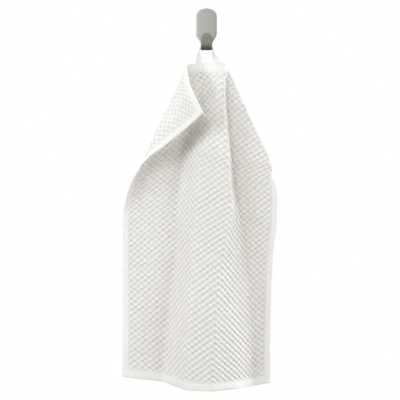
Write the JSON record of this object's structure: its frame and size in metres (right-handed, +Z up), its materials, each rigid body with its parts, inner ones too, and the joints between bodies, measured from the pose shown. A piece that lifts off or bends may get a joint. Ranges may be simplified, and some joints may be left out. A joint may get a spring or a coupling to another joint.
{
  "type": "hand towel on wall hook",
  "caption": "White cotton waffle hand towel hanging in soft folds by its tape loop from a bent steel wall hook, one top corner fallen forward.",
  "frame": {"origin": "middle of the hook plate's flat back, on the wall", "axes": "+Z up, +Y into the wall, +X to the right as the towel is looked at"},
  "size_m": [0.3379, 0.1251, 0.827],
  "materials": {
    "towel_cotton": "soft white cotton, honeycomb weave with plain woven hems and selvages",
    "loop_tape": "plain white twill tape",
    "hook_steel": "satin, brushed along the strip"
  },
  "bodies": {
    "root": {"towel": "towel_cotton", "hanging_loop": "loop_tape", "wall_hook": "hook_steel"}
  },
  "joints": []
}
